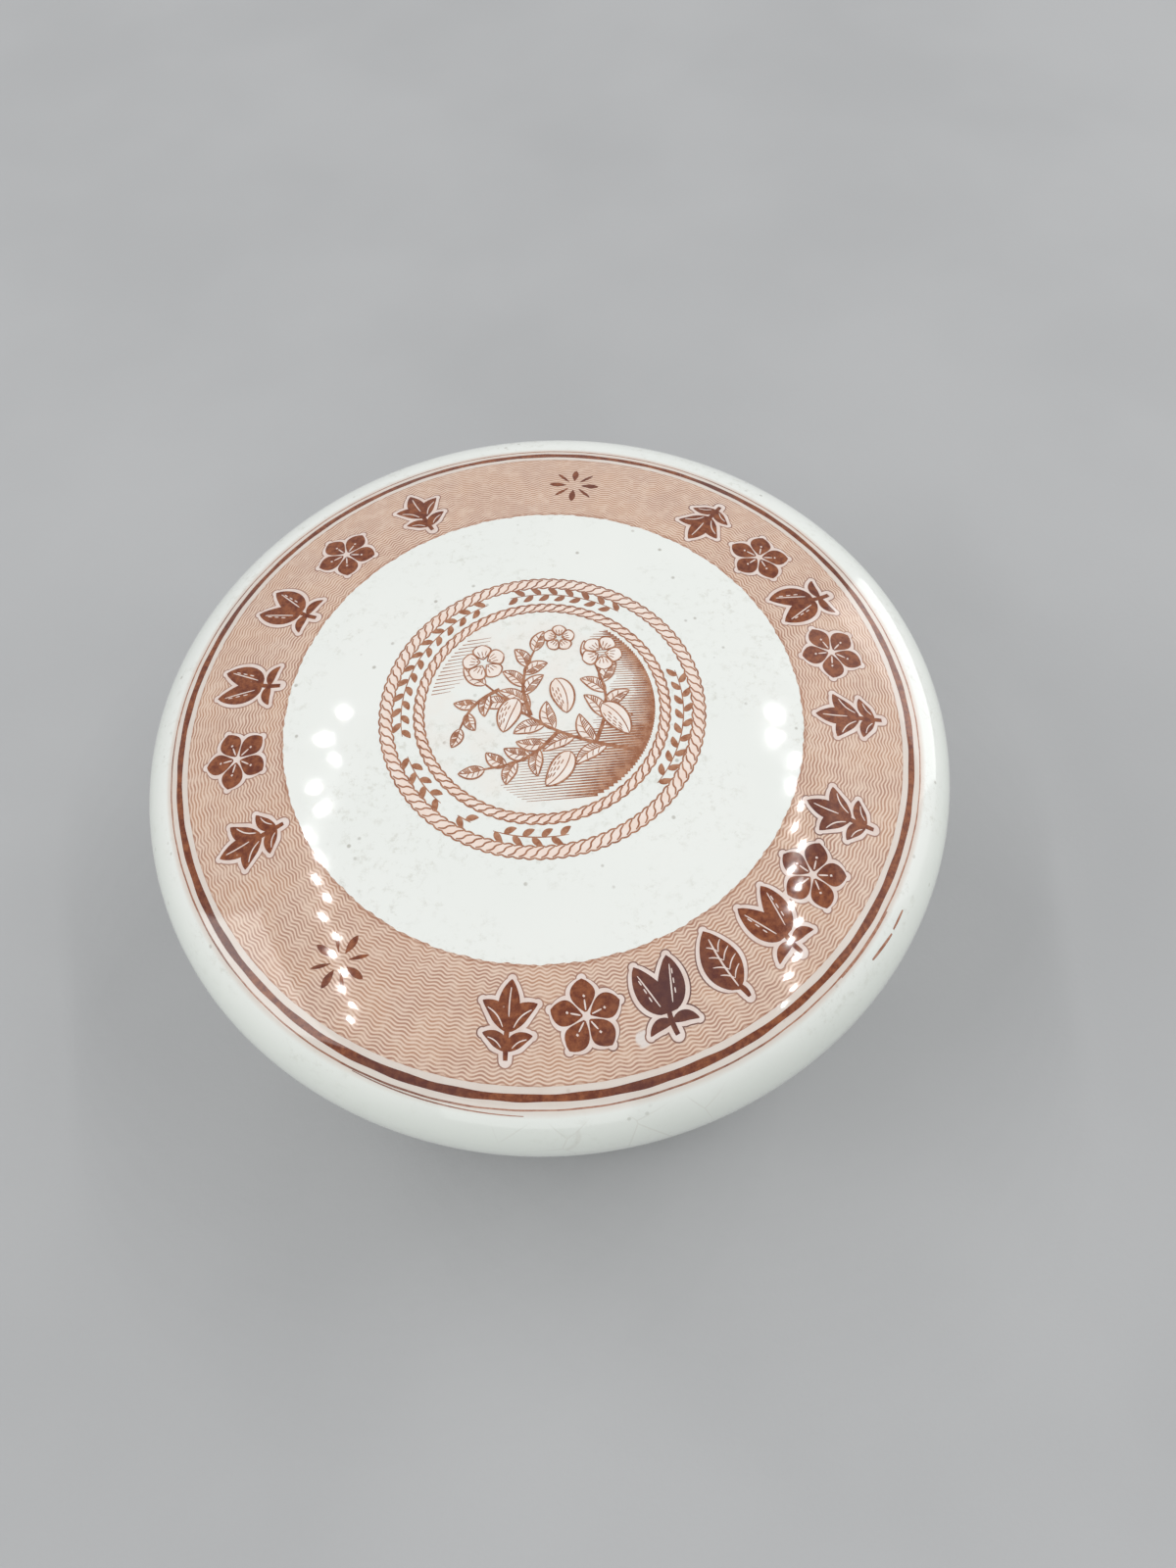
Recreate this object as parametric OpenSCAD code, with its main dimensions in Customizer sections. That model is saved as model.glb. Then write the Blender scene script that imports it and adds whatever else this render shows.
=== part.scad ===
// Shaving cream pot of glazed white earthenware, with its loose domed lid, the cream and
// a waxed paper disc laid on the cream. Millimetres. The origin is the centre of the foot,
// on the surface that the pot stands on, and +Z is the axis of the pot.

/* [Lid] */
// Diameter of the lid over its rounded edge
lid_d = 89; // [80:0.5:100]
// Radius of the rounded edge, in section
lid_edge_r = 7.3; // [6:0.1:8.5]
// Height of the widest point of the lid above its seat
lid_edge_h = 4; // [3:0.1:5.5]
// Diameter of the nearly flat panel in the middle of the lid
panel_d = 54.4; // [40:0.2:60]
// Slope of the panel at its outer edge, in degrees
panel_slope = 8; // [5:0.5:10]
// Slope where the band round the panel meets the rounded edge, in degrees
shoulder_slope = 21; // [16:0.5:26]
// Thickness of the lid
lid_wall = 4; // [3:0.1:5]
// Depth of the locating flange below the seat
flange_depth = 5.5; // [4:0.1:7]
// Thickness of the locating flange
flange_wall = 3.5; // [2.5:0.1:4]

/* [Pot] */
// Height of the pot without its lid
pot_h = 35; // [30:0.5:50]
// Radius of the pot at its rim
pot_r = 40.4; // [39.5:0.1:42]
// Radius of the pot at the heel, where the wall would meet the underside
heel_r = 38; // [37.5:0.1:39]
// Radius of the rounded heel, in section
heel_round = 4; // [2:0.5:4.5]
// Outer radius of the foot ring
foot_r = 33.4; // [31:0.1:34]
// Height of the foot ring
foot_h = 1.6; // [1:0.1:2.5]
// Width of the foot ring
foot_w = 3.2; // [2:0.1:5]
// Thickness of the wall at the mouth
pot_wall = 3.9; // [3:0.1:4.5]
// Thickness of the bottom
floor_t = 3.4; // [3:0.1:6]

/* [Contents] */
// Height of the cream above the pot's own floor
cream_h = 21; // [10:0.5:22]
// Diameter of the waxed paper disc
disc_d = 63; // [50:0.5:63.5]
// Thickness of the waxed paper disc
disc_t = 0.4; // [0.3:0.05:0.6]

/* [Fits] */
// Gap all round between the flange and the mouth
flange_gap = 0.6; // [0.4:0.1:1]
// Gap between the cream and the pot's inner wall
cream_gap = 0.05; // [0.02:0.01:0.1]
// Gap between the paper disc and the cream
disc_gap = 0.05; // [0.02:0.01:0.1]

/* [Hidden] */

ROUND = 96;        // facets of a full turn, which stands for a true circle
DOME_STEPS = 10;   // steps along the panel and along the band of the lid
EDGE_STEPS = 14;   // steps round the lid's rounded edge
CORNER_STEPS = 6;  // steps round a softened corner
SOFT = 0.8;        // softening of the rim, the flange and the foot
LID_ROUND = 3;     // softening of the corner inside the lid
POT_ROUND = 5;     // softening of the corner inside the pot
TAPER = 1.7;       // how much narrower the inside is at the floor than at the mouth
NECK_BELOW = 2;    // how far below the flange the inside stays a plain cylinder
HEEL_RISE = 0.6;   // rise of the underside from the foot ring to the heel

mouth_r = pot_r - pot_wall;
floor_z = foot_h + floor_t;
cream_z = floor_z + cream_h;
disc_z = cream_z + disc_gap;
neck_z = pot_h - flange_depth - NECK_BELOW;
flange_r = mouth_r - flange_gap;
hollow_r = flange_r - flange_wall;

// The lid's outer line is three arcs, each tangent to the next: panel, band and edge.
panel_r = panel_d / 2;
panel_arc = panel_r / sin(panel_slope);
edge_x = lid_d / 2 - lid_edge_r;
band_end = edge_x + lid_edge_r * sin(shoulder_slope);
band_arc = (band_end - panel_r) / (sin(shoulder_slope) - sin(panel_slope));
band_x = panel_r - band_arc * sin(panel_slope);
edge_z = pot_h + lid_edge_h;
band_z = edge_z + (lid_edge_r - band_arc) * cos(shoulder_slope);
panel_z = band_z + (band_arc - panel_arc) * cos(panel_slope);
tuck = acos((SOFT - lid_edge_h) / lid_edge_r);  // where the rounded edge ends, near the seat

// Points of an arc about [x, z], from angle a to angle b, both measured from +Z
function arc(x, z, r, a, b, n) =
    [for (i = [0:n]) let (t = a + (b - a) * i / n) [x + r * sin(t), z + r * cos(t)]];

function unit(v) = v / norm(v);
function turn(v, t) = [v[0] * cos(t) - v[1] * sin(t), v[0] * sin(t) + v[1] * cos(t)];

// The corner q between p and s, softened by an arc of radius r
function soft(p, q, s, r) =
    let (
        u = unit(p - q),
        v = unit(s - q),
        half = acos(u * v) / 2,
        centre = q + unit(u + v) * r / sin(half),
        start = q + u * r / tan(half) - centre,
        side = u[0] * v[1] - u[1] * v[0] > 0 ? -1 : 1
    )
    [for (i = [0:CORNER_STEPS]) centre + turn(start, side * (180 - 2 * half) * i / CORNER_STEPS)];

// A closed or open outline through corners given as [x, z, softening]
function softened(c) =
    [for (i = [0:len(c) - 1])
        let (p = c[max(i - 1, 0)], q = c[i], s = c[min(i + 1, len(c) - 1)], at = [q[0], q[1]])
        each (q[2] > 0 ? soft([p[0], p[1]], at, [s[0], s[1]], q[2]) : [at])];

module turned(outline) {
    rotate_extrude($fn = ROUND) polygon(outline);
}

module lid() {
    outer = concat(
        arc(0, panel_z, panel_arc, 0, panel_slope, DOME_STEPS),
        arc(band_x, band_z, band_arc, panel_slope, shoulder_slope, DOME_STEPS),
        arc(edge_x, edge_z, lid_edge_r, shoulder_slope, tuck, EDGE_STEPS)
    );
    // The underside lies lid_wall inside the arcs of the panel and the band.
    last = asin((hollow_r - LID_ROUND - band_x) / (band_arc - lid_wall));
    inner = concat(
        arc(band_x, band_z, band_arc - lid_wall, last, panel_slope, CORNER_STEPS),
        arc(0, panel_z, panel_arc - lid_wall, panel_slope, 0, DOME_STEPS)
    );
    flange = softened([
        [edge_x + lid_edge_r * sin(tuck) - SOFT, pot_h, 0],
        [flange_r, pot_h, 0],
        [flange_r, pot_h - flange_depth, SOFT],
        [hollow_r, pot_h - flange_depth, SOFT],
        [hollow_r, inner[0][1] - LID_ROUND * tan(last), LID_ROUND],
        [inner[0][0], inner[0][1], 0]
    ]);
    color([0.88, 0.91, 0.88])
        turned(concat(outer, flange, inner));
}

module pot() {
    color([0.90, 0.91, 0.88])
        turned(softened([
            [0, foot_h, 0],
            [foot_r - foot_w - foot_h / 2, foot_h, SOFT / 2],
            [foot_r - foot_w, 0, SOFT / 4],
            [foot_r, 0, SOFT / 2],
            [foot_r, foot_h, SOFT / 2],
            [heel_r, foot_h + HEEL_RISE, heel_round],
            [pot_r, pot_h, SOFT],
            [mouth_r, pot_h, SOFT],
            [mouth_r, neck_z, 0],
            [mouth_r - TAPER, floor_z, POT_ROUND],
            [0, floor_z, 0]
        ]));
}

// Inner radius of the pot at height z above its floor and below the neck
function inside_r(z) = mouth_r - TAPER * (neck_z - z) / (neck_z - floor_z);

module cream() {
    color([0.97, 0.96, 0.92])
        turned(softened([
            [0, floor_z, 0],
            [inside_r(floor_z) - cream_gap, floor_z, POT_ROUND],
            [inside_r(cream_z) - cream_gap, cream_z, 0],
            [0, cream_z, 0]
        ]));
}

module parchment_disc() {
    color([0.93, 0.89, 0.78])
        translate([0, 0, disc_z])
        cylinder(h = disc_t, d = disc_d, $fn = ROUND);
}

lid();
pot();
cream();
parchment_disc();
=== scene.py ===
"""Shaving cream pot: a printed and glazed earthenware lid on its pot, the cream and its waxed paper disc.

Lengths are written in millimetres and turned into metres where a mesh, a light or the camera is made.
"""
import math

import bpy
import numpy as np
from mathutils import Matrix, Vector


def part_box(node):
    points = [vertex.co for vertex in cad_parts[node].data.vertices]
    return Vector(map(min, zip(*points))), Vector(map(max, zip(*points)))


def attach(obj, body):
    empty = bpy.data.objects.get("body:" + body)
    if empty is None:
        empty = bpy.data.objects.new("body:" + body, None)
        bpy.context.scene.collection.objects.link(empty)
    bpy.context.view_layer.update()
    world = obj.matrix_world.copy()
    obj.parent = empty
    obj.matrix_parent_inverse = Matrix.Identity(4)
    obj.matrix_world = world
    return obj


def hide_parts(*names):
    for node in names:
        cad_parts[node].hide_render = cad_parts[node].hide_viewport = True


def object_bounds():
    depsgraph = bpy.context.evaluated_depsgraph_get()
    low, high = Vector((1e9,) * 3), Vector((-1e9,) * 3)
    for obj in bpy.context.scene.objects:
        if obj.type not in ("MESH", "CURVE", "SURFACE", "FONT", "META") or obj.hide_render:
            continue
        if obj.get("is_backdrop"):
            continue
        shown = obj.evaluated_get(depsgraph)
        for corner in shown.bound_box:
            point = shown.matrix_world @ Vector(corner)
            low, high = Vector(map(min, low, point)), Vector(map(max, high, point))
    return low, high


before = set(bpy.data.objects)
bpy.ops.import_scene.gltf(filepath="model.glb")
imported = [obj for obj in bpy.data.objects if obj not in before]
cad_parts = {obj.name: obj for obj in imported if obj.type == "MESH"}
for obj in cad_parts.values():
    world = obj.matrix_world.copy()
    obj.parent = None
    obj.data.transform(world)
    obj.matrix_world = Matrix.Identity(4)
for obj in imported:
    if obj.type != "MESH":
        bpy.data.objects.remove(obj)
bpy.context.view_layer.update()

MM = 0.001
TURN = 2 * math.pi

lid_high = np.array(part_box("lid")[1]) / MM
pot_low, pot_high = (np.array(corner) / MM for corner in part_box("pot"))
cream_low, cream_high = (np.array(corner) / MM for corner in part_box("cream"))
disc_low, disc_high = (np.array(corner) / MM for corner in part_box("parchment_disc"))

# ---------------------------------------------------------------- camera

FOCAL = 25.965    # focal length and sensor, in millimetres
SENSOR = 36.0
EYE = np.array([-0.358, -64.368, 99.278]) + [0, 0, lid_high[2]]
YAW, PITCH, ROLL = np.radians([4.064, 61.84, -2.446])   # turned to the right, looking down, tilted


def make_camera():
    """Camera looking along yaw and pitch, then rolled: its axes are right, up and back."""
    ahead = np.array([
        math.sin(YAW) * math.cos(PITCH), math.cos(YAW) * math.cos(PITCH), -math.sin(PITCH),
    ])
    level = np.array([math.cos(YAW), -math.sin(YAW), 0.0])
    upright = np.cross(level, ahead)
    right = level * math.cos(ROLL) + upright * math.sin(ROLL)
    up = upright * math.cos(ROLL) - level * math.sin(ROLL)
    data = bpy.data.cameras.new("camera")
    data.lens = FOCAL
    data.sensor_width = SENSOR
    data.clip_start = 0.005
    data.clip_end = 20.0
    camera = bpy.data.objects.new("camera", data)
    turn = Matrix([[right[k], up[k], -ahead[k]] for k in range(3)]).to_4x4()
    camera.matrix_world = Matrix.Translation(Vector(EYE * MM)) @ turn
    bpy.context.collection.objects.link(camera)
    bpy.context.scene.camera = camera


make_camera()

# ---------------------------------------------------------------- the lid's outer line

LID_R = 44.5
EDGE_R = 7.3
EDGE_H = 4.0
PANEL_R = 27.2
PANEL_SLOPE, SHOULDER_SLOPE = np.radians([8.0, 21.0])
LID_WALL = 4.0
FLANGE_DEPTH = 5.5
FLANGE_WALL = 3.5
FLANGE_GAP = 0.6
POT_WALL = 3.9
SOFT = 0.8
LID_ROUND = 3.0

SEAT = pot_high[2]
MOUTH_R = pot_high[0] - POT_WALL
FLANGE_R = MOUTH_R - FLANGE_GAP
HOLLOW_R = FLANGE_R - FLANGE_WALL
PANEL_ARC = PANEL_R / math.sin(PANEL_SLOPE)
EDGE_X = LID_R - EDGE_R
BAND_END = EDGE_X + EDGE_R * math.sin(SHOULDER_SLOPE)
BAND_ARC = (BAND_END - PANEL_R) / (math.sin(SHOULDER_SLOPE) - math.sin(PANEL_SLOPE))
BAND_X = PANEL_R - BAND_ARC * math.sin(PANEL_SLOPE)
EDGE_Z = SEAT + EDGE_H
BAND_Z = EDGE_Z + (EDGE_R - BAND_ARC) * math.cos(SHOULDER_SLOPE)
PANEL_Z = BAND_Z + (BAND_ARC - PANEL_ARC) * math.cos(PANEL_SLOPE)
TUCK = math.acos((SOFT - EDGE_H) / EDGE_R)

TRUE_R = 41.5       # within this radius the lid's outline is true to its circle

PRINT = np.array([-0.358, -1.701])  # middle of the print, a little off the lid's axis
BAND_IN = 27.2      # inner and outer radius of the printed band
BAND_OUT = 37.9
WAVES = 131.0       # waves a turn in each fine line of the band
LINE_PITCH = 0.36   # from one fine line to the next
ORNAMENT_R = 32.2   # radius that the ornaments stand on
BOLD_R = 38.87      # radius and half width of the bold ring and of the thin ring
BOLD_HALF = 0.35
THIN_R = 39.85
THIN_HALF = 0.075


def smooth(x, low, high):
    """Rises from 0 at low to 1 at high: 3t^2 - 2t^3."""
    t = np.clip((x - low) / (high - low), 0, 1)
    return t * t * (3 - 2 * t)


def round_axis(points):
    """Coordinates of points, their distance from the axis and their angle round it."""
    x, y, z = points[..., 0], points[..., 1], points[..., 2]
    return x, y, z, np.hypot(x, y), np.arctan2(y, x)


def on_circle(radius, degrees):
    """Point at an angle on a circle about the middle of the print."""
    return radius * np.array([math.cos(math.radians(degrees)), math.sin(math.radians(degrees))])


def sag(x, y):
    """Slow warp of the fired lid: waves of two, three and five a turn that grow with the radius squared."""
    r = np.hypot(x, y) / LID_R
    turn = np.arctan2(y, x)
    waves = 0.035 * np.sin(2 * turn + 0.7) + 0.02 * np.sin(3 * turn + 2.1) + 0.008 * np.sin(5 * turn)
    return waves * r * r


def lid_height(x, y):
    """Height of the lid's top: the panel's arc, the band's arc and the edge's arc, plus the warp."""
    r = np.hypot(x, y)
    panel = PANEL_Z + np.sqrt(PANEL_ARC ** 2 - r ** 2)
    band = BAND_Z + np.sqrt(BAND_ARC ** 2 - (r - BAND_X) ** 2)
    edge = EDGE_Z + np.sqrt(np.clip(EDGE_R ** 2 - (r - EDGE_X) ** 2, 0, None))
    return np.where(r < PANEL_R, panel, np.where(r < BAND_END, band, edge)) + sag(x, y)


def lid_normal(x, y, reach=0.02):
    """Unit normal of the lid's top, from the slopes over a short reach each way."""
    slope_x = (lid_height(x + reach, y) - lid_height(x - reach, y)) / (2 * reach)
    slope_y = (lid_height(x, y + reach) - lid_height(x, y - reach)) / (2 * reach)
    normal = np.stack([-slope_x, -slope_y, np.ones_like(slope_x)], -1)
    return normal / np.linalg.norm(normal, axis=-1, keepdims=True)


# ---------------------------------------------------------------- materials


class Term:
    """A node's output in an expression; each operation on it adds one Math node."""

    def __init__(self, finish, socket):
        self.finish = finish
        self.socket = socket

    def maths(self, operation, *values):
        return self.finish.node("ShaderNodeMath", {"operation": operation}, dict(enumerate(values)))

    def __add__(self, other):
        return self.maths("ADD", self, other)

    def __sub__(self, other):
        return self.maths("SUBTRACT", self, other)

    def __rsub__(self, other):
        return self.maths("SUBTRACT", other, self)

    def __mul__(self, other):
        return self.maths("MULTIPLY", self, other)

    def __truediv__(self, other):
        return self.maths("DIVIDE", self, other)

    __radd__ = __add__
    __rmul__ = __mul__

    def sine(self):
        return self.maths("SINE", self)

    def larger(self, other):
        return self.maths("MAXIMUM", self, other)

    def between(self, low, high):
        """0 at low and 1 at high, smoothed; the other way round if low is the larger."""
        limits = {"Value": self, "From Min": low, "From Max": high}
        return self.finish.node("ShaderNodeMapRange", {"interpolation_type": "SMOOTHSTEP"}, limits)


class Finish:
    """A material whose nodes are all added by one method."""

    def __init__(self, name):
        self.material = bpy.data.materials.new(name)
        self.material.use_nodes = True
        self.tree = self.material.node_tree
        self.tree.nodes.clear()
        self.place = self.node("ShaderNodeTexCoord", out="Object")
        self.x, self.y, self.z = (
            self.node("ShaderNodeSeparateXYZ", {}, {0: self.place}, out=k) * (1 / MM) for k in range(3)
        )

    def node(self, kind, settings=None, inputs=None, out=0):
        """Adds a node of a kind with its settings, then the values or links of its sockets."""
        made = self.tree.nodes.new(kind)
        for name, value in (settings or {}).items():
            setattr(made, name, value)
        for name, value in (inputs or {}).items():
            if isinstance(value, Term):
                self.tree.links.new(value.socket, made.inputs[name])
            else:
                made.inputs[name].default_value = value
        return Term(self, made.outputs[out]) if made.outputs else made

    def noise(self, size, detail=2.0, rough=0.5, shift=0.0):
        """Noise from 0 to 1 with features of the given size in millimetres."""
        place = self.node("ShaderNodeVectorMath", {"operation": "ADD"}, {0: self.place, 1: (shift,) * 3})
        values = {"Vector": place, "Scale": 1 / (size * MM), "Detail": detail, "Roughness": rough}
        return self.node("ShaderNodeTexNoise", {}, values)

    def cells(self, size, feature="F1"):
        """Distance in a cell pattern whose cells are the given size in millimetres."""
        values = {"Vector": self.place, "Scale": 1 / (size * MM)}
        return self.node("ShaderNodeTexVoronoi", {"feature": feature}, values, out="Distance")

    def mix(self, factor, low, high):
        """Colour between low and high."""
        inputs = {0: factor, 6: low, 7: high}
        return self.node("ShaderNodeMix", {"data_type": "RGBA"}, inputs, out=2)

    def radius(self, middle=(0.0, 0.0)):
        """Distance from the upright line through a point."""
        x, y = self.x - middle[0], self.y - middle[1]
        return self.node("ShaderNodeMath", {"operation": "SQRT"}, {0: x * x + y * y})

    def bearing(self, middle=(0.0, 0.0)):
        """Angle round the upright line through a point."""
        x, y = self.x - middle[0], self.y - middle[1]
        return self.node("ShaderNodeMath", {"operation": "ARCTAN2"}, {0: y, 1: x})

    def spot(self, middle, size):
        """1 at a point on the surface and 0 beyond the size."""
        return self.radius(middle).between(size, 0.0)

    def bump(self, height, depth, over=None):
        """Raises the surface by height, which is 0 to 1, times depth in millimetres."""
        inputs = {"Height": height, "Distance": depth * MM, "Strength": 1.0}
        if over is not None:
            inputs["Normal"] = over
        return self.node("ShaderNodeBump", {}, inputs)

    def shade(self, colour, roughness, normal, **fixed):
        """The surface shader; fixed values go straight to its sockets."""
        inputs = {"Base Color": colour, "Roughness": roughness, "Normal": normal}
        inputs.update({name.replace("_", " "): value for name, value in fixed.items()})
        surface = self.node("ShaderNodeBsdfPrincipled", {}, inputs)
        self.node("ShaderNodeOutputMaterial", {}, {"Surface": surface})
        return self.material


def colour(red, green, blue):
    """An opaque colour."""
    return (red, green, blue, 1.0)


BODY = colour(0.80, 0.815, 0.78)
# cool tint of thicker glaze, also darker; on the lid's edge that darkening is painted shade
BODY_COOL = colour(0.70, 0.74, 0.68)
INK = colour(0.128, 0.024, 0.008)
INK_PALE = colour(0.28, 0.088, 0.032)
INK_PURPLE = colour(0.075, 0.028, 0.030)


GLAZE_IOR = 1.52
RIPPLE = 0.05           # depth of the glaze's slow ripple and of its orange peel
PEEL = 0.0016
BARE_ROUGHNESS = 0.7    # how much rougher the body is where it has no glaze


def flowed(finish, under=None):
    """Surface of flowed glaze: a slow ripple and a fine orange peel, over what lies under it."""
    normal = finish.bump(finish.noise(9.0, 1.0, 0.4), RIPPLE, under)
    return finish.bump(finish.noise(0.9, 1.0, 0.5, 0.3), PEEL, normal)


def uneven_gloss(finish, least, spread, bare):
    """Roughness of glaze: least, and up to spread more in patches, and matt where it is bare."""
    return least + finish.noise(5.0, 3.0, 0.6, 0.7).between(0.35, 0.75) * spread + bare * BARE_ROUGHNESS


def glazed(finish, base, bare=0.0):
    """Clear glaze over a colour, matt where it is bare."""
    return finish.shade(base, uneven_gloss(finish, 0.045, 0.04, bare), flowed(finish), IOR=GLAZE_IOR)


def crazed(finish, size, width, patches, shift):
    """1 on the fine cracks of a craze in the glaze, in a few patches of the given size."""
    crack = finish.cells(size, "DISTANCE_TO_EDGE").between(width, 0.004)
    return crack * finish.noise(patches, 1.0, 0.5, shift).between(0.52, 0.66)


def biscuit(finish, light, dark):
    """Bare fired body, mottled between two colours."""
    return finish.mix(finish.noise(0.5, 3.0, 0.7, 0.3), light, dark)


def white_body(finish):
    """White body seen through glaze: slow shading, rubbed smudges, grey grit and single dark dots."""
    slow = finish.noise(14.0, 2.0, 0.5, 0.1).between(0.3, 0.7)
    base = finish.mix(slow * 0.5, BODY, colour(0.765, 0.79, 0.755))
    smudge = finish.noise(1.0, 5.0, 0.75, 0.5).between(0.50, 0.70)
    smudge = smudge * finish.noise(9.0, 2.0, 0.5).between(0.40, 0.60)
    base = finish.mix(smudge * 0.42, base, colour(0.50, 0.49, 0.42))
    grit = finish.cells(2.2).between(0.13, 0.05) * finish.noise(5.0, 1.0, 0.5, 0.9).between(0.46, 0.58)
    base = finish.mix(grit * 0.60, base, colour(0.30, 0.27, 0.22))
    dot = finish.cells(7.0).between(0.034, 0.012) * finish.noise(12.0, 1.0, 0.5, 0.2).between(0.46, 0.52)
    return finish.mix(dot * 0.8, base, colour(0.20, 0.16, 0.13))


def lid_finish():
    """Lid: white body, a warm stain under the rings, a blush in the seal, a cool and crazed edge whose
    darkening is partly painted shade.
    """
    finish = Finish("lid_glaze")
    r = finish.radius(PRINT)
    base = white_body(finish)
    stain = r.between(BAND_OUT - 0.5, BAND_OUT) * r.between(THIN_R + 0.75, THIN_R + 0.15)
    stain = stain * (0.55 + finish.noise(3.0, 3.0, 0.6, 0.2) * 0.45)
    base = finish.mix(stain, base, colour(0.66, 0.56, 0.49))
    blush = r.between(12.6, 12.0) * finish.noise(2.5, 2.0, 0.5, 0.4).between(0.25, 0.75)
    base = finish.mix(blush * 0.22, base, colour(0.80, 0.66, 0.57))
    out = finish.radius()
    # edge tinted cool by thicker glaze and darkened towards the rim as painted shade where it turns down from
    # the light
    base = finish.mix(out.between(LID_R - 4, LID_R) * 0.75, base, BODY_COOL)
    crack = crazed(finish, 5.5, 0.020, 22.0, 1.7) * r.between(40.6, 41.4)
    base = finish.mix(crack * 0.16, base, colour(0.42, 0.36, 0.30))
    seat = finish.z.between(SEAT + 0.45, SEAT + 0.2) * out.between(FLANGE_R - 0.1, FLANGE_R + 0.3)
    base = finish.mix(seat, base, biscuit(finish, colour(0.72, 0.65, 0.54), colour(0.56, 0.47, 0.36)))
    return glazed(finish, base, seat)


def worn_off(finish, radius, degrees, size, grain, low, high):
    """1 in a patch of the print that has worn or chipped off, its outline broken up by a grain of noise."""
    patch = finish.spot(PRINT + on_circle(radius, degrees), size)
    return (patch * finish.noise(*grain)).between(low, high)


def band_finish():
    """Printed band: fine lines round the lid, each waving WAVES times a turn, over a pinkish tint.

    A line's phase is (radius + wave) / pitch, and it is inked where the phase is far from a half.
    """
    finish = Finish("band_print")
    r = finish.radius(PRINT)
    turn = finish.bearing(PRINT)
    drift = finish.noise(6.0, 2.0, 0.5, 0.6) - 0.5
    swing = finish.noise(4.0, 1.0, 0.5, 1.9).between(0.2, 0.75) * 0.11 + 0.05
    wave = (turn * WAVES + drift * 7.0).sine() * swing + drift * 0.5
    phase = finish.node("ShaderNodeMath", {"operation": "FRACT"}, {0: (r + wave) / LINE_PITCH})
    ridge = finish.node("ShaderNodeMath", {"operation": "ABSOLUTE"}, {0: phase - 0.5})
    line = ridge.between(0.14, 0.34) * (finish.noise(1.1, 3.0, 0.65, 1.3).between(0.25, 0.6) * 0.55 + 0.45)
    patches = finish.noise(7.0, 3.0, 0.55, 2.2)
    ground = finish.mix(patches, colour(0.765, 0.62, 0.515), colour(0.69, 0.505, 0.385))
    thick = finish.noise(4.0, 2.0, 0.5, 1.1).between(0.3, 0.7)
    inked = finish.mix(thick, colour(0.47, 0.265, 0.175), colour(0.40, 0.225, 0.165))
    base = finish.mix(line, ground, inked)
    edges = r.between(BAND_IN + 0.55, BAND_IN + 0.1).larger(r.between(BAND_OUT - 0.3, BAND_OUT))
    edges = edges * finish.noise(0.8, 2.0, 0.6).between(0.3, 0.6)
    base = finish.mix(edges * 0.5, base, INK_PALE)
    chip = worn_off(finish, 35.2, 280, 1.3, (0.7, 3.0, 0.7, 0.8), 0.12, 0.26)
    base = finish.mix(chip * 0.9, base, colour(0.72, 0.66, 0.62))
    rub = worn_off(finish, 28.9, 259, 1.8, (1.2, 2.0, 0.6, 0.1), 0.15, 0.45)
    base = finish.mix(rub * 0.7, base, colour(0.80, 0.68, 0.58))
    return glazed(finish, base)


def ink_finish(name, pale, dark, purple):
    """Ink under the glaze: uneven from thin to thick, purple in places, pricked by pinholes."""
    finish = Finish(name)
    thick = finish.noise(0.8, 4.0, 0.7, 0.4).between(0.32, 0.68)
    base = finish.mix(thick, pale, dark)
    cooled = finish.noise(15.0, 1.0, 0.5, 3.3).between(0.50, 0.68) * 0.5
    burnt = finish.spot(PRINT + on_circle(ORNAMENT_R, 287), 8.5)
    base = finish.mix(cooled.larger(burnt * 0.85), base, purple)
    pinhole = finish.cells(1.4).between(0.09, 0.03) * finish.noise(3.0, 1.0, 0.5).between(0.5, 0.65)
    base = finish.mix(pinhole * 0.6, base, colour(0.55, 0.40, 0.32))
    return glazed(finish, base)


def tint_finish(name, light, deep):
    """Thin tint under the glaze, mottled between two colours."""
    finish = Finish(name)
    return glazed(finish, finish.mix(finish.noise(1.6, 3.0, 0.6, 0.9).between(0.3, 0.7), light, deep))


# ---------------------------------------------------------------- meshes


def make_piece(name, points, faces, material, body, normals=None):
    """Puts points in millimetres and faces into a mesh object that rides on a body."""
    mesh = bpy.data.meshes.new(name)
    mesh.from_pydata((points * MM).tolist(), [], faces)
    mesh.shade_smooth()
    if normals is not None:
        mesh.normals_split_custom_set(normals.tolist())
    mesh.materials.append(material)
    piece = bpy.data.objects.new(name, mesh)
    bpy.context.collection.objects.link(piece)
    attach(piece, body)
    return piece


def cells_of(rows, columns):
    """The four corners of every cell of a grid, anticlockwise where columns turn left of rows."""
    at = np.arange(rows * columns).reshape(rows, columns)
    return np.stack([at[:-1, :-1], at[1:, :-1], at[1:, 1:], at[:-1, 1:]], -1).reshape(-1, 4)


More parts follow.
